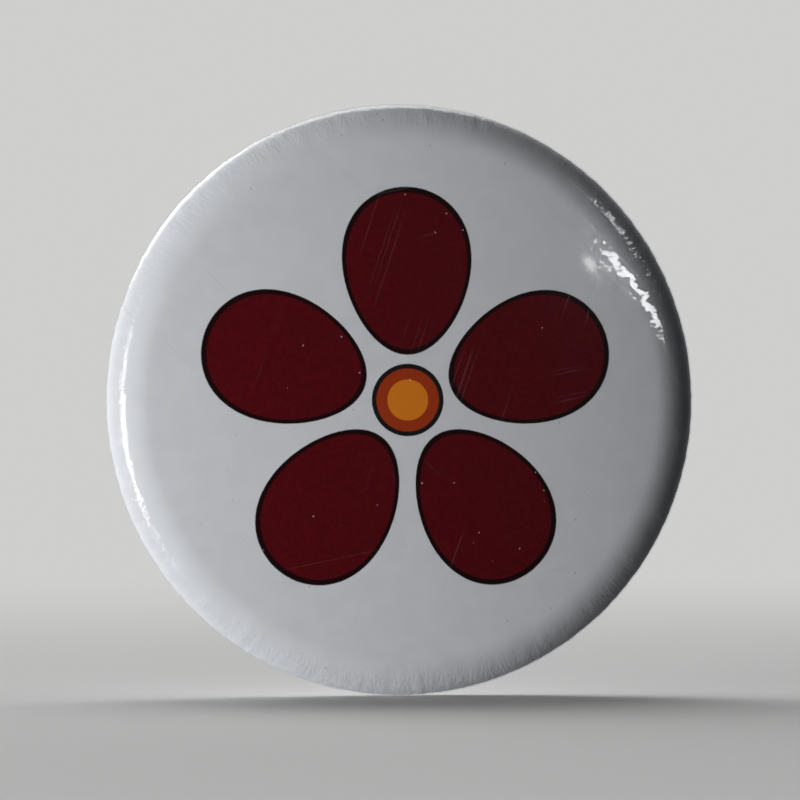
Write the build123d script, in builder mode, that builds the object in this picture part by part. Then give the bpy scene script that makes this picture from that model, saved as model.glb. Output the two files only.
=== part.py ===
from build123d import *
from math import cos, radians, sin, sqrt
import os

# A 58 mm button badge. A printed paper and a clear film are pressed round a domed tinplate front,
# and all three edges are curled over the flared rim of a tinplate back. A bar pin with a turning
# catch is riveted to the back.
#
# Millimetres. The badge stands as it is worn: +Z up, +X to the right seen from the front, the
# printed face towards -Y and the pin towards +Y. The origin is the middle of the bounding box,
# which lies on the axis of the disc.

# ---------------------------------------------------------------- driving dimensions
# front: the outer face of the film
badge_radius = 29.0
dome_radius = 170.0
shoulder_radius = 6.0
edge_radius = 2.0
edge_turn = 45.0
side_height = 0.2
curl_radius = 1.2
rim_flat = 0.4

# sheets, from the outside in, and the clearance left between two pieces that touch
film_thickness = 0.10
paper_thickness = 0.12
shell_thickness = 0.25
plate_thickness = 0.30
layer_gap = 0.02

# how far each sheet reaches forward again after the curl
film_lip = 0.9
paper_lip = 0.7
shell_lip = 0.5

# back plate
plate_recess = 0.5
wall_bend = 0.8
flare_bend = 0.32
flare_radius = 27.4
flange_gap = 0.04
ring_radius = 21.5
ring_half_width = 1.3
ring_slope = 0.7
ring_height = 0.45
ring_bend = 0.6

# bar
pin_z = 6.0
pin_height = 2.2
bar_length = 30.0
bar_width = 5.0
bar_thickness = 0.5
stamped_edge = 0.1

# rivets of the bar
rivet_x = 7.0
rivet_radius = 0.9
rivet_head_radius = 1.6
rivet_head_height = 0.65
rivet_clinch_radius = 1.35
rivet_clinch_height = 0.35

# hinge
hinge_x = -12.5
ear_radius = 1.35
ear_spacing = 0.76
hinge_rivet_radius = 0.55
hinge_clearance = 0.05
hinge_head_radius = 0.95
hinge_head_height = 0.35

# needle, along the pin from the hinge
needle_radius = 0.45
needle_reach = 29.0
taper_length = 9.5
tip_radius = 0.06
eye_radius = 1.4
eye_thickness = 0.7
neck_start = 1.15
neck_end = 2.2
neck_half_height = 0.7
neck_half_width = 0.33
stop_reach = 2.4
stop_width = 0.9
stop_angle = 142.5

# catch
catch_x = 12.5
housing_length = 3.0
housing_radius = 2.15
bore_radius = 1.65
mouth_angle = 110.0
mouth_edge = 0.2
foot_width = 2.4
barrel_clearance = 0.05
barrel_end_gap = 0.1
barrel_flange_radius = 1.9
barrel_flange_thickness = 0.5
slot_width = 1.3
lever_inner = 1.2
lever_reach = 3.4
lever_width = 1.0
lever_thickness = 0.9
lever_angle = -45.0
barrel_edge = 0.12
lever_edge = 0.2

# ---------------------------------------------------------------- levels along the badge's axis
paper_inset = film_thickness + layer_gap
shell_inset = paper_inset + paper_thickness + layer_gap

edge_x = badge_radius - edge_radius
shoulder_x = edge_x - (shoulder_radius - edge_radius) * sin(radians(edge_turn))
shoulder_depth = dome_radius - sqrt((dome_radius - shoulder_radius) ** 2 - shoulder_x**2)
edge_depth = shoulder_depth - (shoulder_radius - edge_radius) * cos(radians(edge_turn))
front_depth = edge_depth + side_height + curl_radius
lever_rise = (lever_reach - lever_width / 2) * cos(radians(lever_angle)) + lever_width / 2
pin_depth = layer_gap + bar_thickness + pin_height + lever_rise
total_depth = front_depth - plate_recess + pin_depth

front_y = -total_depth / 2
dome_y = front_y + dome_radius
shoulder_y = front_y + shoulder_depth
edge_y = front_y + edge_depth
curl_y = edge_y + side_height
rim_y = curl_y + curl_radius
plate_y = rim_y - plate_recess
plate_front_y = plate_y - plate_thickness
bar_front_y = plate_y + layer_gap
bar_y = bar_front_y + bar_thickness
pin_y = bar_y + pin_height

curl_outer_x = badge_radius - curl_radius
curl_inner_x = curl_outer_x - rim_flat
flange_x = curl_inner_x - curl_radius - flange_gap
flare_y = curl_y - film_lip - flare_bend - layer_gap

barrel_half = housing_length / 2 + barrel_end_gap + barrel_flange_thickness
barrel_back = catch_x - barrel_half
barrel_front = catch_x + barrel_half


def level(y, x=0.0, z=0.0):
    """The plane at depth y that faces forward: its x is +X, its y is +Z and its normal is -Y."""
    return Plane(origin=(x, y, z), x_dir=(1, 0, 0), z_dir=(0, -1, 0))


def across_pin(x):
    """The plane across the needle at x: its x is +Y, its y is +Z and its normal is +X."""
    return Plane(origin=(x, pin_y, pin_z), x_dir=(0, 1, 0), z_dir=(1, 0, 0))


def front_line(inset, lip):
    """Half of the front's section, `inset` below its outer face: dome, shoulder, edge, side, curl
    and lip. The edge takes over from the shoulder where the face has turned by `edge_turn`."""
    dome_sweep = Vector(0, front_y - dome_y).get_angle(Vector(shoulder_x, shoulder_y - dome_y))
    curl = curl_radius - inset
    CenterArc((0, dome_y), dome_radius - inset, -90, dome_sweep)
    CenterArc((shoulder_x, shoulder_y), shoulder_radius - inset, dome_sweep - 90, edge_turn - dome_sweep)
    CenterArc((edge_x, edge_y), edge_radius - inset, edge_turn - 90, 90 - edge_turn)
    Line((badge_radius - inset, edge_y), (badge_radius - inset, curl_y))
    CenterArc((curl_outer_x, curl_y), curl, 0, 90)
    Line((curl_outer_x, curl_y + curl), (curl_inner_x, curl_y + curl))
    CenterArc((curl_inner_x, curl_y), curl, 90, 90)
    Line((curl_inner_x - curl, curl_y), (curl_inner_x - curl, curl_y - lip))


def wrapped_sheet(inset, thickness, lip):
    """Revolve one sheet of the front, closed on the badge's axis and at the end of its lip."""
    inner = inset + thickness
    lip_x = curl_inner_x - curl_radius
    with BuildSketch(Plane.XY) as section:
        with BuildLine():
            front_line(inset, lip)
            front_line(inner, lip)
            Line((0, front_y + inset), (0, front_y + inner))
            Line((lip_x + inset, curl_y - lip), (lip_x + inner, curl_y - lip))
        make_face()
    revolve(section.sketch, axis=Axis.Y)


def rivet(plane, grip, shank, head, head_height, clinch, clinch_height):
    """Revolve a rivet round the plane's y axis: domed head above the grip, clinched head below it."""
    top = grip / 2
    with BuildSketch(plane) as section:
        with BuildLine():
            TangentArc((0, top + head_height), (head, top), tangent=(1, 0))
            Polyline((head, top), (shank, top), (shank, -top), (clinch, -top))
            TangentArc((0, -top - clinch_height), (clinch, -top), tangent=(1, 0))
            Line((0, -top - clinch_height), (0, top + head_height))
        make_face()
    revolve(section.sketch, axis=Axis(plane.origin, plane.y_dir))


os.makedirs("parts", exist_ok=True)

# ---------------------------------------------------------------- front
with BuildPart() as clear_film:
    wrapped_sheet(0, film_thickness, film_lip)
clear_film.part.label = "clear_film"
export_step(clear_film.part, "parts/clear_film.step")

with BuildPart() as printed_paper:
    wrapped_sheet(paper_inset, paper_thickness, paper_lip)
printed_paper.part.label = "printed_paper"
export_step(printed_paper.part, "parts/printed_paper.step")

with BuildPart() as front_shell:
    wrapped_sheet(shell_inset, shell_thickness, shell_lip)
front_shell.part.label = "front_shell"
export_step(front_shell.part, "parts/front_shell.step")

# ---------------------------------------------------------------- back plate
# One sheet: a flat disc with a pressed ring, a wall that goes forward inside the lip of the front,
# and a flared rim that the lip can't pass.
with BuildPart() as back_plate:
    with BuildSketch(Plane.XY):
        with BuildLine():
            FilletPolyline(
                (0, plate_y),
                (ring_radius - ring_half_width - ring_slope, plate_y),
                (ring_radius - ring_half_width, plate_y + ring_height),
                (ring_radius + ring_half_width, plate_y + ring_height),
                (ring_radius + ring_half_width + ring_slope, plate_y),
                (flange_x, plate_y),
                (flange_x, flare_y),
                (flare_radius, flare_y),
                radius=(ring_bend, ring_bend, ring_bend, ring_bend, wall_bend, flare_bend),
            )
            offset(amount=plate_thickness, side=Side.RIGHT)
        make_face()
    revolve(axis=Axis.Y)
    with BuildSketch(level(plate_y, z=pin_z)):
        with Locations((-rivet_x, 0), (rivet_x, 0)):
            Circle(rivet_radius + layer_gap)
    extrude(amount=plate_thickness, mode=Mode.SUBTRACT)
back_plate.part.label = "back_plate"
export_step(back_plate.part, "parts/back_plate.step")

# ---------------------------------------------------------------- bar, hinge ears and catch housing
with BuildPart() as pin_bar:
    with BuildSketch(level(bar_y, z=pin_z)):
        SlotOverall(bar_length, bar_width)
        with Locations((-rivet_x, 0), (rivet_x, 0)):
            Circle(rivet_radius + layer_gap, mode=Mode.SUBTRACT)
    extrude(amount=bar_thickness)
    fillet(faces().sort_by(Axis.Y)[-1].outer_wire().edges(), radius=stamped_edge)

    # hinge ears, bent up on both sides of the needle's eye
    with BuildSketch(Plane.XY.offset(pin_z + ear_spacing / 2)):
        with Locations((hinge_x, (bar_front_y + pin_y) / 2)):
            Rectangle(2 * ear_radius, pin_y - bar_front_y)
        with Locations((hinge_x, pin_y)):
            Circle(ear_radius)
            Circle(hinge_rivet_radius + layer_gap, mode=Mode.SUBTRACT)
    extrude(amount=bar_thickness)
    ear_face = faces(Select.LAST).sort_by(Axis.Z)[-1]
    fillet(ear_face.outer_wire().edges().sort_by(Axis.Y)[1:], radius=stamped_edge)
    upper_half = split(bisect_by=Plane.XY.offset(pin_z), mode=Mode.PRIVATE)
    mirror(upper_half, about=Plane.XY.offset(pin_z))

    # catch housing, a tube with its mouth to the rear, on a short foot
    with BuildSketch(across_pin(catch_x - housing_length / 2)):
        Circle(housing_radius)
        with Locations((-(pin_height + bore_radius) / 2, 0)):
            Rectangle(pin_height - bore_radius, foot_width)
        Circle(bore_radius, mode=Mode.SUBTRACT)
        with BuildLine():
            lower_side = PolarLine((0, 0), 2 * housing_radius, -mouth_angle / 2)
            upper_side = PolarLine((0, 0), 2 * housing_radius, mouth_angle / 2)
            Line(lower_side @ 1, upper_side @ 1)
        make_face(mode=Mode.SUBTRACT)
        fillet(vertices().filter_by_position(Axis.X, 0, housing_radius), radius=mouth_edge)
    extrude(amount=housing_length)
pin_bar.part.label = "pin_bar"
export_step(pin_bar.part, "parts/pin_bar.step")

# ---------------------------------------------------------------- rivets
with BuildPart() as bar_rivets:
    grip = bar_y - plate_front_y + 2 * layer_gap
    for x in (-rivet_x, rivet_x):
        rivet(
            Plane(origin=(x, (bar_y + plate_front_y) / 2, pin_z)),
            grip,
            rivet_radius,
            rivet_head_radius,
            rivet_head_height,
            rivet_clinch_radius,
            rivet_clinch_height,
        )
bar_rivets.part.label = "bar_rivets"
export_step(bar_rivets.part, "parts/bar_rivets.step")

with BuildPart() as hinge_rivet:
    rivet(
        level(pin_y, x=hinge_x, z=pin_z),
        ear_spacing + 2 * bar_thickness + 2 * layer_gap,
        hinge_rivet_radius,
        hinge_head_radius,
        hinge_head_height,
        hinge_head_radius,
        hinge_head_height,
    )
hinge_rivet.part.label = "hinge_rivet"
export_step(hinge_rivet.part, "parts/hinge_rivet.step")

# ---------------------------------------------------------------- needle
with BuildPart() as needle:
    # eye, flattened from the wire, with the stop that meets the bar when the needle is wide open
    with BuildSketch(Plane.XY.offset(pin_z - eye_thickness / 2)):
        with Locations((hinge_x, pin_y)):
            Circle(eye_radius)
            with PolarLocations(stop_reach / 2, 1, start_angle=stop_angle):
                SlotOverall(stop_reach, stop_width)
            Circle(hinge_rivet_radius + hinge_clearance, mode=Mode.SUBTRACT)
    extrude(amount=eye_thickness)
    for flat in faces().filter_by(Axis.Z):
        fillet(flat.outer_wire().edges(), radius=stamped_edge)

    # neck, from the flat eye to the round wire
    with BuildSketch(across_pin(hinge_x + neck_start)):
        Ellipse(neck_half_height, neck_half_width)
    with BuildSketch(across_pin(hinge_x + neck_end)):
        Circle(needle_radius)
    loft()

    # wire and point
    with BuildSketch(Plane(origin=(hinge_x, pin_y, pin_z))):
        with BuildLine():
            Polyline(
                (needle_reach, 0),
                (neck_end, 0),
                (neck_end, needle_radius),
                (needle_reach - taper_length, needle_radius),
                (needle_reach - tip_radius, tip_radius),
            )
            CenterArc((needle_reach - tip_radius, 0), tip_radius, 0, 90)
        make_face()
    revolve(axis=Axis((hinge_x, pin_y, pin_z), (1, 0, 0)))
needle.part.label = "needle"
export_step(needle.part, "parts/needle.step")

# ---------------------------------------------------------------- catch barrel
with BuildPart() as catch_barrel:
    with BuildSketch(across_pin(barrel_back)):
        Circle(bore_radius - barrel_clearance)
    extrude(amount=2 * barrel_half)
    with BuildSketch(across_pin(barrel_back), across_pin(barrel_front - barrel_flange_thickness)):
        Circle(barrel_flange_radius)
    extrude(amount=barrel_flange_thickness)
    fillet(edges().filter_by(GeomType.CIRCLE).group_by(SortBy.RADIUS)[-1], radius=barrel_edge)

    # thumb lever on the outboard flange
    with BuildSketch(across_pin(barrel_front - barrel_flange_thickness)):
        with PolarLocations((lever_inner + lever_reach) / 2, 1, start_angle=lever_angle):
            SlotOverall(lever_reach - lever_inner, lever_width)
    extrude(amount=lever_thickness)
    fillet(faces().sort_by(Axis.X)[-1].edges(), radius=lever_edge)

    # slot for the needle, open to the rear
    with BuildSketch(across_pin(barrel_back)):
        Circle(slot_width / 2)
        with Locations((lever_reach / 2, 0)):
            Rectangle(lever_reach, slot_width)
    extrude(amount=2 * barrel_half + lever_thickness, mode=Mode.SUBTRACT)
catch_barrel.part.label = "catch_barrel"
export_step(catch_barrel.part, "parts/catch_barrel.step")
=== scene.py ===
import math
import bpy
import numpy as np
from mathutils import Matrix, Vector


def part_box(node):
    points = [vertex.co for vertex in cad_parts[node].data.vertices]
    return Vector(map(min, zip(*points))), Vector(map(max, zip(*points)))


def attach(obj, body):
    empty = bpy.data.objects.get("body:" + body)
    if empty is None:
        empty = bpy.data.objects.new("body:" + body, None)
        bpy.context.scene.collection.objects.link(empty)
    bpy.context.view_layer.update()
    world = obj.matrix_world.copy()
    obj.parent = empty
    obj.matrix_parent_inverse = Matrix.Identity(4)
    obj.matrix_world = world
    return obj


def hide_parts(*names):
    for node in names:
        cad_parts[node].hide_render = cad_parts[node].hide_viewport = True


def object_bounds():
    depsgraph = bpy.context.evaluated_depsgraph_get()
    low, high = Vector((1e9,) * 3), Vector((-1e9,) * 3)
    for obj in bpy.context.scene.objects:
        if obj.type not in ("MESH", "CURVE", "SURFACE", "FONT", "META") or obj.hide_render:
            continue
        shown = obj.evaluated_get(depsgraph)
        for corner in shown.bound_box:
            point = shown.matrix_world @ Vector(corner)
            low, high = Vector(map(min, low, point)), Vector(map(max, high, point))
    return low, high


# The looks of the 58 mm button badge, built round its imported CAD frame, in metres. The film and the
# paper are made here, because they carry what the turned CAD sheets leave out: the ripples and folds
# where both are wrapped over the rolled edge. Every metal piece is its CAD node, with a material.

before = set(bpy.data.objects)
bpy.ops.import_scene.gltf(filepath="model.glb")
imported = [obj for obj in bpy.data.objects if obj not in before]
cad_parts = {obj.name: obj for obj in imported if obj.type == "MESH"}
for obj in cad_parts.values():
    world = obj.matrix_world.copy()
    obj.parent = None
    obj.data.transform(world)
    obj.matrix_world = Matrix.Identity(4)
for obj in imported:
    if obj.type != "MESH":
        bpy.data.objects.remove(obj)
cad_low, cad_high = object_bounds()

MM = 0.001
QUARTER = math.pi / 2
FULL_TURN = 2 * math.pi

# the film's outer section, which is the same as the CAD's
film_low, film_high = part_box("clear_film")
BADGE_RADIUS = film_high.x
FRONT_Y = film_low.y
RIM_Y = film_high.y
DOME_RADIUS = 170 * MM
SHOULDER_RADIUS = 6.0 * MM
EDGE_RADIUS = 2.0 * MM
EDGE_TURN = math.radians(45)
CURL_RADIUS = 1.2 * MM
RIM_FLAT = 0.4 * MM

# the two wrapped sheets
FILM_THICKNESS = 0.10 * MM
PAPER_THICKNESS = 0.12 * MM
LAYER_GAP = 0.02 * MM
PAPER_INSET = FILM_THICKNESS + LAYER_GAP
FILM_LIP = 0.9 * MM
PAPER_LIP = 0.7 * MM
COLUMNS = 1200

# How high the swells, ripples and folds of the wrapped sheets rise, in millimetres, at places REACH
# millimetres beyond the dome. The shoulder ends at 3.8 and the edge at 5.4, and the curl goes on to
# 9.8. The swells and ripples belong to the front, and the folds to the curl, where there is too much
# material for the smaller circle. The back plate presses them flat again at the lip.
REACH = (-2.5, 0.0, 1.6, 3.0, 4.2, 5.4, 7.5, 9.0, 9.8, 10.7)
SWELL_HEIGHT = (0.0, 0.014, 0.026, 0.02, 0.012, 0.0, 0.0, 0.0, 0.0, 0.0)
RIPPLE_HEIGHT = (0.0, 0.002, 0.016, 0.045, 0.05, 0.045, 0.03, 0.02, 0.0, 0.0)
FOLD_HEIGHT = (0.0, 0.0, 0.0, 0.0, 0.008, 0.06, 0.17, 0.14, 0.03, 0.006)

# how many there are of each, with their narrowest and widest half width in millimetres
SWELLS = (48, 0.9, 1.8)
RIPPLES = (170, 0.32, 0.65)
FOLDS = (120, 0.45, 1.1)
RIDGE_SEED = 58

# A ridge reaches its full height over RIDGE_GROWTH millimetres. A fold's steep side is
# FOLD_STEEPNESS times as wide as its other side. The columns are up to 1 + FOLD_CROWDING times as
# close within about FOLD_CROWD_WIDTH of a fold, worked out in FINE_STEPS round the rim.
RIDGE_GROWTH = 2.2
FOLD_STEEPNESS = 0.12
FOLD_CROWDING = 3.0
FOLD_CROWD_WIDTH = 0.18 * MM
FINE_STEPS = 40000


# ---------------------------------------------------------------- wrapped sheets
def section_rings():
    """The rings of the outer section, from the axis to the lip, as rows of arc centre (radius and
    depth), arc radius and angle. The angle is -90 degrees at the axis and 180 at the lip."""
    edge_r = BADGE_RADIUS - EDGE_RADIUS
    shoulder_r = edge_r - (SHOULDER_RADIUS - EDGE_RADIUS) * math.sin(EDGE_TURN)
    dome_y = FRONT_Y + DOME_RADIUS
    dome_to_shoulder = math.sqrt((DOME_RADIUS - SHOULDER_RADIUS) ** 2 - shoulder_r**2)
    shoulder_y = dome_y - dome_to_shoulder
    edge_y = shoulder_y - (SHOULDER_RADIUS - EDGE_RADIUS) * math.cos(EDGE_TURN)
    curl_r = BADGE_RADIUS - CURL_RADIUS
    curl_y = RIM_Y - CURL_RADIUS
    dome_turn = math.atan2(shoulder_r, dome_to_shoulder)
    arcs = (
        # centre radius, centre depth, radius, start, end, rings; the dome's are closer at its foot
        (0.0, dome_y, DOME_RADIUS, 0.07 * dome_turn, 0.86 * dome_turn, 7),
        (0.0, dome_y, DOME_RADIUS, 0.90 * dome_turn, 0.97 * dome_turn, 3),
        (shoulder_r, shoulder_y, SHOULDER_RADIUS, dome_turn, 0.96 * EDGE_TURN, 12),
        (edge_r, edge_y, EDGE_RADIUS, EDGE_TURN, QUARTER, 7),
        (curl_r, curl_y, CURL_RADIUS, QUARTER, 2 * QUARTER, 8),
        (curl_r - RIM_FLAT, curl_y, CURL_RADIUS, 2 * QUARTER, 3 * QUARTER, 8),
    )
    rows = []
    for centre_r, centre_y, radius, start, end, count in arcs:
        for angle in np.linspace(start - QUARTER, end - QUARTER, count):
            rows.append((centre_r, centre_y, radius, angle))
    return np.array(rows)


def arc_length(rings):
    """How far each ring lies along the section from the axis, and its radius."""
    r = rings[:, 0] + rings[:, 2] * np.cos(rings[:, 3])
    y = rings[:, 1] + rings[:, 2] * np.sin(rings[:, 3])
    steps = np.hypot(np.diff(r, prepend=r[0]), np.diff(y, prepend=y[0]))
    return r[0] + np.cumsum(steps), r


def ridges(random, count, narrow, wide):
    """Rows of centre, half width, strength, the side that laps over and where the ridge starts, for
    ridges that are spread round the rim. The start is in millimetres beyond the dome."""
    return np.stack([
        (np.arange(count) + random.uniform(-0.42, 0.42, count)) * FULL_TURN / count,
        random.uniform(narrow, wide, count) * MM,
        random.uniform(0.25, 1.0, count),
        random.choice((-1.0, 1.0), count),
        random.uniform(-3.0, 3.0, count),
    ], axis=1)


def from_centre(turn, centre):
    """The turn from a ridge's centre, between minus and plus half a circle."""
    return (turn - centre + math.pi) % FULL_TURN - math.pi


def crowded_columns(folds):
    """The columns' angles, closest together where a fold laps over."""
    fine = np.linspace(0, FULL_TURN, FINE_STEPS, endpoint=False)
    density = np.ones_like(fine)
    for centre in folds[:, 0]:
        away = from_centre(fine, centre) * BADGE_RADIUS / FOLD_CROWD_WIDTH
        density += FOLD_CROWDING * np.exp(-(away**2))
    share = np.cumsum(density) / density.sum()
    return np.interp((np.arange(COLUMNS) + 0.5) / COLUMNS, share, fine)


def heaped(group, steepness, turn, r, beyond):
    """How much of its full height a group of ridges reaches at each ring and column. A ridge grows
    from its start. On the side where it laps over it is steep, and on the other it runs out slowly."""
    heap = np.zeros((len(r), len(turn)))
    for centre, width, strength, lap, start in group:
        grown = np.clip((beyond - start) / RIDGE_GROWTH, 0, 1)
        grown = strength * grown**2 * (3 - 2 * grown)
        across = lap * from_centre(turn, centre)[None, :] * r[:, None] / width
        across = np.where(across < 0, across / steepness, across)
        heap += grown[:, None] * np.exp(-np.abs(across) ** 1.5)
    return np.tanh(heap)


def wrapped_rise(rings):
    """The angle of each ring's columns, and how far the wrapped sheets stand off the shell there."""
    random = np.random.default_rng(RIDGE_SEED)
    along, r = arc_length(rings)
    beyond = (along - along[np.argmax(rings[:, 2] < DOME_RADIUS)]) / MM
    swells = ridges(random, *SWELLS)
    ripples = ridges(random, *RIPPLES)
    folds = ridges(random, *FOLDS)
    turn = crowded_columns(folds)
    rise = np.zeros((len(rings), len(turn)))
    for group, height, steepness in (
        (swells, SWELL_HEIGHT, 1.0),
        (ripples, RIPPLE_HEIGHT, 1.0),
        (folds, FOLD_HEIGHT, FOLD_STEEPNESS),
    ):
        full_height = np.interp(beyond, REACH, height, left=0.0)
        rise += heaped(group, steepness, turn, r, beyond) * full_height[:, None]

    # the folds lean one way and the other round the rim, by up to 0.43 degrees in a millimetre
    lean = (5 * np.sin(4 * turn + 0.6) + 2.5 * np.sin(9 * turn + 2.1)) * 0.001
    return turn + lean * np.clip(beyond, 0, None)[:, None], rise * MM


def sheet_face(rings, turn, rise, inset, lip):
    """The points of one face of a sheet, ring by ring, with a last ring at the end of the lip."""
    reach = rings[:, 2, None] - inset + rise
    r = rings[:, 0, None] + reach * np.cos(rings[:, 3, None])
    y = rings[:, 1, None] + reach * np.sin(rings[:, 3, None])
    r = np.vstack([r, r[-1]])
    y = np.vstack([y, y[-1] - lip])
    turn = np.vstack([turn, turn[-1]])
    return np.stack([r * np.cos(turn), y, r * np.sin(turn)], axis=-1)


def sheet_faces(ring_count):
    """The faces between the rings of a closed sheet, and the fans that close it on the axis, whose
    outer and inner poles come after the rings' points."""
    first = np.arange(COLUMNS)
    second = (first + 1) % COLUMNS
    last = (ring_count - 1) * COLUMNS
    pole = ring_count * COLUMNS
    faces = []
    for start in range(0, last, COLUMNS):
        beyond = start + COLUMNS
        faces += np.stack([start + second, start + first, beyond + first, beyond + second], 1).tolist()
    faces += [(pole, int(a), int(b)) for a, b in zip(first, second)]
    faces += [(pole + 1, last + int(b), last + int(a)) for a, b in zip(first, second)]
    return faces


def wrapped_sheet(name, inset, thickness, lip):
    """A closed mesh of one sheet: its outer face, its edge at the lip and its inner face, which has
    half as many rings on the shoulder and the edge."""
    rings = section_rings()
    turn, rise = wrapped_rise(rings)
    kept = np.isin(rings[:, 2], (DOME_RADIUS, CURL_RADIUS)) | (np.arange(len(rings)) % 2 == 0)
    outer = sheet_face(rings, turn, rise, inset, lip)
    inner = sheet_face(rings[kept], turn[kept], rise[kept], inset + thickness, lip)
    sheet = np.concatenate([outer, inner[::-1]])
    poles = [(0.0, FRONT_Y + inset, 0.0), (0.0, FRONT_Y + inset + thickness, 0.0)]
    points = np.concatenate([sheet.reshape(-1, 3), poles])
    mesh = bpy.data.meshes.new(name)
    mesh.from_pydata(points.tolist(), [], sheet_faces(len(sheet)))
    mesh.update()
    mesh.shade_smooth()
    made = bpy.data.objects.new(name, mesh)
    bpy.context.scene.collection.objects.link(made)
    return made


# ---------------------------------------------------------------- shader nodes as expressions
class Shader:
    """A material whose nodes are written as expressions. A value is a number, a colour or a socket,
    and places and sizes are in millimetres. The functions that use one call it s."""

    def __init__(self, name):
        self.material = bpy.data.materials.new(name)
        self.material.use_nodes = True
        self.tree = self.material.node_tree
        self.tree.nodes.clear()
        self.output = self.tree.nodes.new("ShaderNodeOutputMaterial")
        place = self.node("TexCoord").outputs["Object"]
        self.mm = self.node("VectorMath", {0: place, "Scale": 1 / MM}, operation="SCALE").outputs[0]
        self.x, self.y, self.z = self.node("SeparateXYZ", {0: self.mm}).outputs

    def node(self, kind, inputs=None, **settings):
        """A new node, with its inputs given by name or number."""
        made = self.tree.nodes.new("ShaderNode" + kind)
        for key, value in settings.items():
            setattr(made, key, value)
        for key, value in (inputs or {}).items():
            self.put(made.inputs[key], value)
        return made

    def put(self, socket, value):
        """Links a socket to an input, or sets the input to a number or a colour."""
        if isinstance(value, bpy.types.NodeSocket):
            self.tree.links.new(value, socket)
        elif isinstance(value, tuple) and len(value) == 3 and socket.type == "RGBA":
            socket.default_value = (*value, 1.0)
        else:
            socket.default_value = value

    def math(self, operation, *values):
        return self.node("Math", dict(enumerate(values)), operation=operation).outputs[0]

    def plus(self, total, *values):
        for value in values:
            total = self.math("ADD", total, value)
        return total

    def minus(self, first, second):
        return self.math("SUBTRACT", first, second)

    def times(self, first, second):
        return self.math("MULTIPLY", first, second)

    def length(self, first, second):
        """The length of two sides at a right angle."""
        return self.math("SQRT", self.plus(self.times(first, first), self.times(second, second)))

    def step(self, value, low, high):
        """0 below low and 1 above high, with a smooth step between. low may be the higher number."""
        inputs = {"Value": value, "From Min": low, "From Max": high}
        return self.node("MapRange", inputs, interpolation_type="SMOOTHSTEP").outputs[0]

    def between(self, value, low, high):
        """Maps a value from 0 to 1 onto low to high."""
        return self.node("MapRange", {"Value": value, "To Min": low, "To Max": high}).outputs[0]

    def mix(self, factor, first, second):
        return self.node("Mix", {0: factor, 6: first, 7: second}, data_type="RGBA").outputs[2]

    def mix_shaders(self, factor, first, second):
        return self.node("MixShader", {0: factor, 1: first, 2: second}).outputs[0]

    def noise(self, scale, detail=2.0, stretch=(1, 1, 1), seed=0.0, turn=0.0):
        """Noise from 0 to 1, `scale` bumps to a millimetre, drawn out where stretch is under 1. The
        noise is turned about the badge's axis by `turn` degrees."""
        turned = self.node("Mapping", {0: self.mm, "Rotation": (0, math.radians(turn), 0)}).outputs[0]
        place = self.node("Mapping", {0: turned, "Location": (seed, 2 * seed, -seed), "Scale": stretch})
        inputs = {"Vector": place.outputs[0], "Scale": scale, "Detail": detail}
        return self.node("TexNoise", inputs).outputs["Fac"]

    def crinkle(self, seed):
        """Fine creases across the rim, from 0 to 1, which fade out on the face."""
        badge_radius = BADGE_RADIUS / MM
        rim_y = RIM_Y / MM
        radius = self.length(self.x, self.z)
        round_rim = self.times(self.math("ARCTAN2", self.x, self.z), badge_radius)
        over_rim = self.times(self.plus(self.y, radius), 0.25)
        place = self.node("CombineXYZ", {0: round_rim, 1: over_rim, 2: seed}).outputs[0]
        fine = self.node("TexNoise", {"Vector": place, "Scale": 1.9, "Detail": 3.0}).outputs["Fac"]
        creased = self.step(self.math("ABSOLUTE", self.minus(fine, 0.5)), 0.0, 0.12)
        front = self.times(self.step(radius, badge_radius - 3.5, badge_radius - 0.5), 0.55)
        behind = self.step(self.y, rim_y - 2.3, rim_y - 0.8)
        return self.times(creased, self.math("MAXIMUM", front, behind))

    def scratches(self, seed, amount=0.5):
        """Fine scratches in three directions, as 1 in a scratch and 0 beside it. They are thinnest and
        fewest at amount 0, and bolder at 1."""
        found = 0.0
        for number, turn in enumerate((12, 71, 133)):
            line = self.noise(0.9, 0, (0.03, 0.3, 4.0), seed + 3.1 * number, turn)
            line = self.step(line, 0.72 - 0.03 * amount, 0.76 - 0.03 * amount)
            patch = self.step(self.noise(0.10, 1, seed=seed + 5.7 * number), 0.54, 0.66)
            found = self.math("MAXIMUM", found, self.times(line, patch))
        return found

    def painted_corner_shade(self, distance):
        """1 in a corner, where ambient occlusion finds shade, and 0 on an open face. It masks painted
        shade.
        """
        shade = self.node("AmbientOcclusion", {"Distance": distance * MM}, samples=6)
        return self.step(shade.outputs["AO"], 0.75, 0.25)

    def outer_edge(self, distance):
        """1 along an outer edge, where handling rubs, and 0 away from it."""
        shade = self.node("AmbientOcclusion", {"Distance": distance * MM}, samples=6, inside=True)
        return self.step(shade.outputs["AO"], 0.85, 0.45)

    def bump(self, height, distance, normal=None):
        """Turns a height from 0 to 1 into a normal; distance is its full height."""
        inputs = {"Height": height, "Distance": distance * MM}
        if normal is not None:
            inputs["Normal"] = normal
        return self.node("Bump", inputs).outputs[0]

    def finish(self, shader):
        """Makes a shader the surface and gives the material."""
        self.tree.links.new(shader, self.output.inputs["Surface"])
        return self.material


# ---------------------------------------------------------------- printed paper
PAPER_WHITE = (0.785, 0.80, 0.835)
PAPER_GRAIN = (0.60, 0.62, 0.65)
MAROON = (0.092, 0.0025, 0.0055)
KEYLINE = (0.014, 0.0025, 0.003)
ORANGE = (0.80, 0.24, 0.015)
RUST = (0.40, 0.045, 0.009)
LINE_BLACK = (0.012, 0.011, 0.012)

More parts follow.
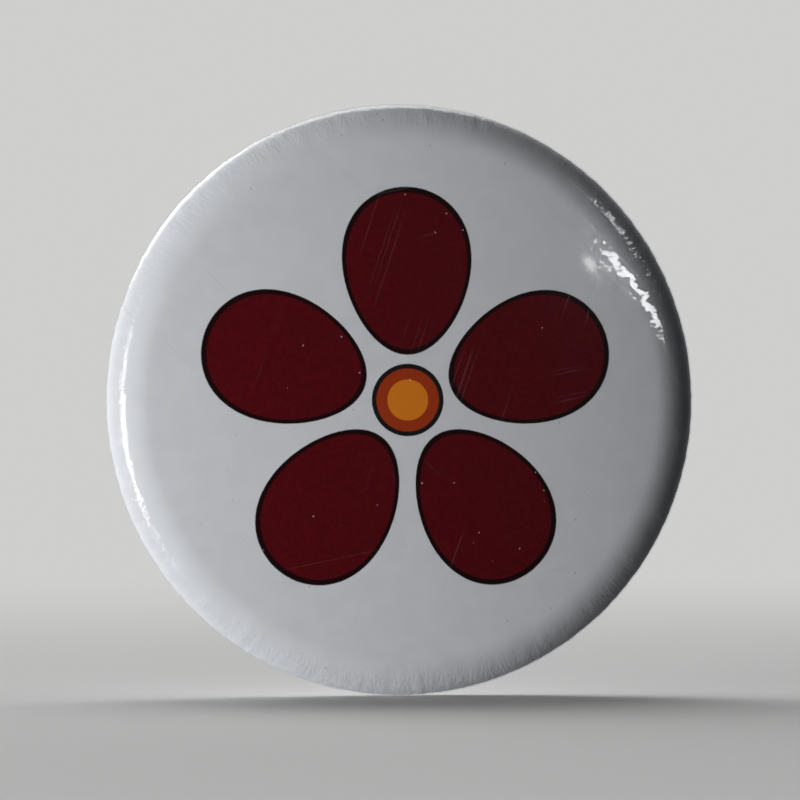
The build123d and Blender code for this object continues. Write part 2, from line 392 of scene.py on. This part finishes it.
# The flower, in millimetres: equal egg-shaped petals round a ringed centre. The middle of a petal is
# PETAL_RADIUS from the badge's axis. Towards its outer end it is wider by up to PETAL_EGG of its half
# width, and towards its inner end as much narrower.
PETALS = 5
PETAL_HALF_WIDTH = 6.3
PETAL_HALF_LENGTH = 8.2
PETAL_RADIUS = 12.6
PETAL_EGG = 0.16
PETAL_LINE = 0.42
CENTRE_RADIUS = 3.3
CENTRE_LINE = 0.45
ORANGE_RADIUS = 2.0
PRINT_EDGE = 0.05


def petal_distance(s, radius):
    """Roughly how far a point lies outside the nearest petal. The petals are alike and evenly spaced,
    so the angle is folded into one of them."""
    share = FULL_TURN / PETALS
    angle = s.plus(s.math("ARCTAN2", s.x, s.z), share / 2)
    folded = s.minus(s.math("FLOORED_MODULO", angle, share), share / 2)
    along = s.minus(s.times(radius, s.math("COSINE", folded)), PETAL_RADIUS)
    along = s.math("DIVIDE", along, PETAL_HALF_LENGTH)
    half_width = s.math("MULTIPLY_ADD", along, PETAL_EGG * PETAL_HALF_WIDTH, PETAL_HALF_WIDTH)
    across = s.math("DIVIDE", s.times(radius, s.math("SINE", folded)), half_width)
    return s.times(s.minus(s.length(across, along), 1.0), PETAL_HALF_WIDTH)


def printed_colour(s, grain):
    """The paper's ground, the petals with their keyline, and the centre with its ring. The ink's edge
    is a little ragged and its tone cloudy."""
    ragged = s.between(s.noise(9, 3), -0.04, 0.04)
    radius = s.length(s.x, s.z)
    outside = s.plus(petal_distance(s, radius), ragged)
    petal = s.step(outside, PRINT_EDGE, -PRINT_EDGE)
    fill = s.step(outside, PRINT_EDGE - PETAL_LINE, -PRINT_EDGE - PETAL_LINE)
    from_ring = s.math("ABSOLUTE", s.minus(s.plus(radius, ragged), CENTRE_RADIUS))
    ring = s.step(from_ring, CENTRE_LINE / 2 + PRINT_EDGE, CENTRE_LINE / 2 - PRINT_EDGE)
    middle = s.step(radius, CENTRE_RADIUS, CENTRE_RADIUS - 2 * PRINT_EDGE)
    rust = s.step(radius, ORANGE_RADIUS - PRINT_EDGE, ORANGE_RADIUS + PRINT_EDGE)

    cloud = s.step(s.noise(0.5, 4, seed=9), 0.35, 0.65)
    toner = s.step(s.noise(2.2, 5, seed=5), 0.35, 0.65)
    paper = s.mix(cloud, PAPER_WHITE, tuple(0.965 * c for c in PAPER_WHITE))
    paper = s.mix(s.between(grain, 0.0, 0.16), paper, PAPER_GRAIN)
    maroon = s.mix(toner, MAROON, tuple(1.22 * c for c in MAROON))
    colour = s.mix(petal, paper, KEYLINE)
    colour = s.mix(fill, colour, maroon)
    colour = s.mix(middle, colour, s.mix(rust, ORANGE, RUST))
    return s.mix(ring, colour, LINE_BLACK)


def paper_material():
    """The print, with the paper's grain and the rim's creases in relief."""
    s = Shader("printed_paper")
    grain = s.noise(11, 4, seed=3)
    normal = s.bump(s.crinkle(seed=1.5), 0.03, normal=s.bump(grain, 0.006))
    principled = s.node("BsdfPrincipled", {
        "Base Color": printed_colour(s, grain),
        "Roughness": s.between(grain, 0.5, 0.62),
        "Specular IOR Level": 0.12,
        "Normal": normal,
    })
    return s.finish(principled.outputs[0])


# ---------------------------------------------------------------- clear film
FILM_IOR = 1.58
FILM_TINT = (0.985, 0.988, 0.99)
DUST = (0.8, 0.8, 0.8)
WHITE = (1.0, 1.0, 1.0)


def film_normal(s):
    """Long waves on the face, stronger where the film lifts at the shoulder, and the rim's creases."""
    badge_radius = BADGE_RADIUS / MM
    shoulder = s.step(s.length(s.x, s.z), badge_radius - 6.5, badge_radius - 3.5)
    lifted = s.times(s.noise(0.55, 2, seed=2), shoulder)
    waves = s.bump(lifted, 0.05, normal=s.bump(s.noise(0.2, 1, seed=7), 0.012))
    fine = s.bump(s.noise(1.1, 2, seed=4), 0.0012, normal=waves)
    return s.bump(s.crinkle(seed=1.5), 0.025, normal=fine)


def film_material():
    """A thin clear sheet: it mirrors by Fresnel on the side that is seen and lets the rest through.
    Hairline scratches and a few specks of dust catch the light."""
    s = Shader("clear_film")
    normal = film_normal(s)
    scratch = s.scratches(seed=8, amount=0.0)
    roughness = s.plus(s.between(s.noise(0.16, 3, seed=6), 0.035, 0.10), s.times(scratch, 0.1))
    mirror = {"Color": WHITE, "Roughness": roughness, "Normal": normal}
    gloss = s.node("BsdfAnisotropic", mirror).outputs[0]
    through = s.node("BsdfTransparent", {"Color": FILM_TINT}).outputs[0]
    fresnel = s.node("Fresnel", {"IOR": FILM_IOR, "Normal": normal}).outputs[0]
    sheet = s.mix_shaders(fresnel, through, gloss)

    specks = s.node("TexVoronoi", {"Vector": s.mm, "Scale": 0.45, "Randomness": 1.0})
    dust = s.times(s.step(specks.outputs["Distance"], 0.05, 0.025), 0.35)
    marks = s.math("MAXIMUM", s.times(scratch, 0.025), dust)
    marked = s.mix_shaders(marks, sheet, s.node("BsdfDiffuse", {"Color": DUST}).outputs[0])

    inner_face = s.node("NewGeometry").outputs["Backfacing"]
    clear = s.node("BsdfTransparent", {"Color": WHITE}).outputs[0]
    return s.finish(s.mix_shaders(inner_face, marked, clear))


# ---------------------------------------------------------------- metals
TIN = (0.79, 0.79, 0.775)
TIN_DULL = (0.67, 0.67, 0.655)
NICKEL = (0.74, 0.72, 0.67)
NICKEL_DULL = (0.60, 0.585, 0.55)
NICKEL_RUBBED = (0.82, 0.80, 0.76)
ALUMINIUM = (0.80, 0.80, 0.80)
ALUMINIUM_DULL = (0.66, 0.665, 0.67)
STEEL = (0.66, 0.665, 0.67)
STEEL_DULL = (0.56, 0.56, 0.565)
THIN_NICKEL = (0.70, 0.675, 0.61)
THIN_NICKEL_DULL = (0.58, 0.56, 0.51)
BRASS = (0.70, 0.50, 0.22)

# painted shade for the corners that ambient occlusion finds: dark browns, darkest on the bar and
# brownest on the catch barrel
CORNER_SHADE = (0.16, 0.14, 0.12)
RIVET_CORNER_SHADE = (0.15, 0.13, 0.11)
BAR_CORNER_SHADE = (0.13, 0.11, 0.09)
BARREL_CORNER_SHADE = (0.14, 0.11, 0.08)


def metal(s, colour, roughness, normal, anisotropic=0.0):
    """Finishes a bare metal surface."""
    inputs = {
        "Base Color": colour,
        "Metallic": 1.0,
        "Roughness": roughness,
        "Anisotropic": anisotropic,
        "Normal": normal,
    }
    return s.finish(s.node("BsdfPrincipled", inputs).outputs[0])


def tinplate_material():
    """Rolled sheet: fine lines one way, cloudy handling marks and scratches, rubbed brighter on the
    pressed ring, with painted shade that darkens the corners and makes them rougher."""
    s = Shader("tinplate")
    plate_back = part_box("back_plate")[1].y / MM
    lines = s.noise(5, 3, stretch=(0.02, 1, 1), seed=1, turn=8)
    cloud = s.noise(0.14, 5, seed=2)
    scratch = s.scratches(seed=12, amount=1.0)
    rubbed = s.step(s.y, plate_back - 0.12, plate_back)
    # Painted shade: the colour darkens in the corners that ambient occlusion finds, and the roughness
    # rises there too.
    painted_shade = s.painted_corner_shade(0.9)
    colour = s.mix(s.step(cloud, 0.35, 0.65), TIN, TIN_DULL)
    colour = s.mix(s.times(painted_shade, 0.75), colour, CORNER_SHADE)
    roughness = s.plus(
        s.between(cloud, 0.16, 0.42),
        s.between(lines, -0.06, 0.06),
        s.times(scratch, 0.12),
        s.times(rubbed, -0.08),
        s.times(painted_shade, 0.25),
    )
    dished = s.bump(s.noise(0.10, 1, seed=4), 0.06)
    lined = s.bump(lines, 0.0022, normal=dished)
    scratched = s.bump(s.minus(1.0, scratch), 0.004, normal=lined)
    return metal(s, colour, roughness, scratched, anisotropic=0.35)


def bar_material():
    """Nickel-plated stamping: tumbled, so its faces are softly uneven, rubbed along its edges."""
    s = Shader("plated_steel")
    dents = s.noise(1.3, 3, seed=21)
    fine = s.noise(12, 2, seed=22)
    cloud = s.noise(0.35, 3, seed=23)
    scratch = s.scratches(seed=25)
    edge = s.outer_edge(0.12)
    # Painted shade: the colour darkens in the corners that ambient occlusion finds, and the roughness
    # rises there too.
    painted_shade = s.painted_corner_shade(0.7)
    colour = s.mix(cloud, NICKEL, NICKEL_DULL)
    colour = s.mix(s.times(edge, 0.5), colour, NICKEL_RUBBED)
    colour = s.mix(s.times(painted_shade, 0.7), colour, BAR_CORNER_SHADE)
    roughness = s.plus(
        s.between(cloud, 0.18, 0.32),
        s.between(fine, -0.04, 0.04),
        s.times(edge, -0.06),
        s.times(painted_shade, 0.25),
    )
    uneven = s.bump(dents, 0.012, normal=s.bump(fine, 0.0015))
    return metal(s, colour, roughness, s.bump(s.minus(1.0, scratch), 0.004, normal=uneven))


def rivet_material():
    """Aluminium, with the turning marks of the setting tool round the middle of each head."""
    s = Shader("rivet_metal")
    low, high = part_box("bar_rivets")
    head_radius = (high.z - low.z) / 2
    side = s.minus(s.math("ABSOLUTE", s.x), (high.x - head_radius) / MM)
    height = s.minus(s.z, (high.z - head_radius) / MM)
    wobble = s.noise(2.5, 2, seed=31)
    turned = s.plus(s.length(side, height), s.times(wobble, 0.08))
    marks = s.math("SINE", s.times(turned, 60))
    marks = s.between(s.math("MULTIPLY_ADD", marks, 0.5, 0.5), 0.3, 0.7)
    # Painted shade: the colour darkens in the corners that ambient occlusion finds, and the roughness
    # rises there too.
    painted_shade = s.painted_corner_shade(0.5)
    colour = s.mix(wobble, ALUMINIUM, ALUMINIUM_DULL)
    colour = s.mix(s.times(painted_shade, 0.7), colour, RIVET_CORNER_SHADE)
    roughness = s.plus(s.between(wobble, 0.26, 0.42), s.times(painted_shade, 0.2))
    return metal(s, colour, roughness, s.bump(marks, 0.004))


def needle_material():
    """Drawn steel wire: lines along it, smoother towards the ground point."""
    s = Shader("needle_steel")
    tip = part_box("needle")[1].x / MM
    lines = s.noise(9, 2, stretch=(0.05, 1, 1), seed=41)
    cloud = s.noise(0.8, 2, seed=42)
    ground = s.step(s.x, tip - 9.5, tip - 5.5)
    # Painted shade: the colour darkens in the corners that ambient occlusion finds.
    painted_shade = s.painted_corner_shade(0.4)
    colour = s.mix(cloud, STEEL, STEEL_DULL)
    colour = s.mix(s.times(painted_shade, 0.5), colour, CORNER_SHADE)
    roughness = s.plus(s.between(cloud, 0.20, 0.30), s.times(ground, -0.08))
    return metal(s, colour, roughness, s.bump(lines, 0.003))


def barrel_material():
    """Nickel over brass, rubbed through on the edges of the thumb lever."""
    s = Shader("plated_brass")
    lever_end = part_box("catch_barrel")[1].x / MM
    lever = s.step(s.x, lever_end - 1.0, lever_end - 0.7)
    cloud = s.noise(0.9, 3, seed=51)
    fine = s.noise(10, 2, seed=52)
    patchy = s.plus(s.outer_edge(0.22), s.between(s.noise(2.4, 3, seed=53), -0.5, 0.3))
    worn = s.times(lever, s.step(patchy, 0.25, 0.6))
    # Painted shade: the colour darkens in the corners that ambient occlusion finds.
    painted_shade = s.painted_corner_shade(0.4)
    nickel = s.mix(cloud, THIN_NICKEL, THIN_NICKEL_DULL)
    colour = s.mix(worn, nickel, BRASS)
    colour = s.mix(s.times(painted_shade, 0.6), colour, BARREL_CORNER_SHADE)
    roughness = s.plus(s.between(cloud, 0.20, 0.34), s.times(worn, 0.08))
    return metal(s, colour, roughness, s.bump(fine, 0.0015))


# ---------------------------------------------------------------- stage
BACKGROUND = (0.62, 0.62, 0.615)
ROOM = (0.95, 0.98, 1.0)
FLOOR = (0.78, 0.775, 0.76)
FLOOR_RADIUS = 3.0
FADE_START = 90
FADE_END = 420

# a little to the badge's left and level with it; the lens and the sensor are in millimetres
CAMERA_AZIMUTH = -8
CAMERA_ELEVATION = 0
CAMERA_DISTANCE = 0.6
CAMERA_LENS = 275
CAMERA_SENSOR = 36


def build_floor():
    """A pale floor under the rim that fades into the background. It isn't mirrored and doesn't block
    or return light, so a lamp may stand lower than it."""
    place = (0, 0, cad_low.z)
    bpy.ops.mesh.primitive_circle_add(vertices=96, radius=FLOOR_RADIUS, fill_type="NGON", location=place)
    floor = bpy.context.object
    floor.name = "floor"
    s = Shader("floor")
    matt = {"Base Color": FLOOR, "Roughness": 0.9, "Specular IOR Level": 0.1}
    shown = s.node("BsdfPrincipled", matt).outputs[0]
    clear = s.node("BsdfTransparent").outputs[0]
    fade = s.step(s.length(s.x, s.y), FADE_START, FADE_END)
    floor.data.materials.append(s.finish(s.mix_shaders(fade, shown, clear)))
    floor.visible_glossy = False
    floor.visible_diffuse = False
    floor.visible_shadow = False


def build_world():
    """What the camera sees is plain and pale. What lights the badge is a dim room, dark in front of
    the print, so that the film doesn't veil it, and brightest behind and to the left."""
    world = bpy.data.worlds.new("studio")
    bpy.context.scene.world = world
    world.use_nodes = True
    tree = world.node_tree
    tree.nodes.clear()

    def node(kind, **settings):
        made = tree.nodes.new("ShaderNode" + kind)
        for key, value in settings.items():
            setattr(made, key, value)
        return made

    def ramp(value, low, high, from_strength, to_strength):
        made = node("MapRange", interpolation_type="SMOOTHSTEP")
        tree.links.new(value, made.inputs["Value"])
        made.inputs["From Min"].default_value = low
        made.inputs["From Max"].default_value = high
        made.inputs["To Min"].default_value = from_strength
        made.inputs["To Max"].default_value = to_strength
        return made.outputs[0]

    # +X is the badge's right and +Y is behind it
    toward = node("SeparateXYZ")
    tree.links.new(node("TexCoord").outputs["Generated"], toward.inputs[0])
    across = ramp(toward.outputs["X"], -1, 0.9, 0.9, 0.2)
    behind = ramp(toward.outputs["Y"], -0.3, 0.7, 0.02, 1.0)
    strength = node("Math", operation="MULTIPLY")
    tree.links.new(across, strength.inputs[0])
    tree.links.new(behind, strength.inputs[1])
    room = node("Background")
    tree.links.new(strength.outputs[0], room.inputs["Strength"])
    room.inputs["Color"].default_value = (*ROOM, 1)
    seen = node("Background")
    seen.inputs["Color"].default_value = (*BACKGROUND, 1)
    path = node("LightPath")
    choose = node("MixShader")
    output = node("OutputWorld")
    tree.links.new(path.outputs["Is Camera Ray"], choose.inputs[0])
    tree.links.new(room.outputs[0], choose.inputs[1])
    tree.links.new(seen.outputs[0], choose.inputs[2])
    tree.links.new(choose.outputs[0], output.inputs[0])


def aimed(name, data, azimuth, elevation, distance):
    """A lamp or a camera that faces the badge. Azimuth 0 is in front of the print, 90 to its right."""
    turn = math.radians(azimuth)
    rise = math.radians(elevation)
    away = Vector((math.sin(turn) * math.cos(rise), -math.cos(turn) * math.cos(rise), math.sin(rise)))
    made = bpy.data.objects.new(name, data)
    made.location = away * distance
    made.rotation_euler = away.to_track_quat("Z", "Y").to_euler()
    bpy.context.scene.collection.objects.link(made)
    return made


def softbox(name, azimuth, elevation, distance, width, height, radiance, sees="both"):
    """An oval lamp, as bright as a surface of the given radiance. It can light matt surfaces only, or
    be mirrored by glossy ones only."""
    lamp = bpy.data.lights.new(name, "AREA")
    lamp.shape = "ELLIPSE"
    lamp.size = width
    lamp.size_y = height
    lamp.energy = radiance * math.pi * width * height * math.pi / 4
    made = aimed(name, lamp, azimuth, elevation, distance)
    made.visible_diffuse = sees != "gloss"
    made.visible_glossy = sees != "matt"


def build_lights():
    """The key and the mirrored lights in front give the print its shading and the film its highlights.
    The rear ones light the metal. The numbers are azimuth, elevation, distance, width, height and
    radiance."""
    softbox("key_left", -56, -6, 0.6, 0.42, 0.5, 7.2, sees="matt")
    softbox("window_left", -64, -7, 0.6, 0.07, 0.46, 13.0, sees="gloss")
    softbox("strip_low", 40, 11.3, 0.7, 0.42, 0.045, 15.0, sees="gloss")
    softbox("strip_high", 64, 31, 0.7, 0.18, 0.045, 14.0, sees="gloss")
    softbox("fill_right", 122, 25, 0.7, 0.3, 0.3, 1.0, sees="matt")
    softbox("rear_left", 215, 35, 0.7, 0.5, 0.4, 2.0)
    softbox("rear_top", 175, 62, 0.7, 0.5, 0.4, 2.5)
    softbox("rear_glint", 200, 24, 0.7, 0.10, 0.16, 14.0, sees="gloss")


def build_camera():
    data = bpy.data.cameras.new("camera")
    data.sensor_width = CAMERA_SENSOR
    data.lens = CAMERA_LENS
    data.clip_start = 0.01
    camera = aimed("camera", data, CAMERA_AZIMUTH, CAMERA_ELEVATION, CAMERA_DISTANCE)
    bpy.context.scene.camera = camera


# ---------------------------------------------------------------- the badge
def wrap(piece, material, node):
    """Gives a wrapped sheet its material and puts it in the place of its CAD node."""
    piece.data.materials.append(material)
    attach(piece, "badge_body")
    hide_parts(node)


def dress(node, material):
    """Gives a CAD node its material."""
    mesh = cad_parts[node].data
    mesh.materials.clear()
    mesh.materials.append(material)


film = wrapped_sheet("film", 0.0, FILM_THICKNESS, FILM_LIP)
wrap(film, film_material(), "clear_film")
paper = wrapped_sheet("paper", PAPER_INSET, PAPER_THICKNESS, PAPER_LIP)
wrap(paper, paper_material(), "printed_paper")

tinplate = tinplate_material()
dress("front_shell", tinplate)
dress("back_plate", tinplate)
dress("pin_bar", bar_material())
rivets = rivet_material()
dress("bar_rivets", rivets)
dress("hinge_rivet", rivets)
dress("needle", needle_material())
dress("catch_barrel", barrel_material())

bpy.context.scene.view_settings.view_transform = "Standard"
build_floor()
build_world()
build_lights()
build_camera()
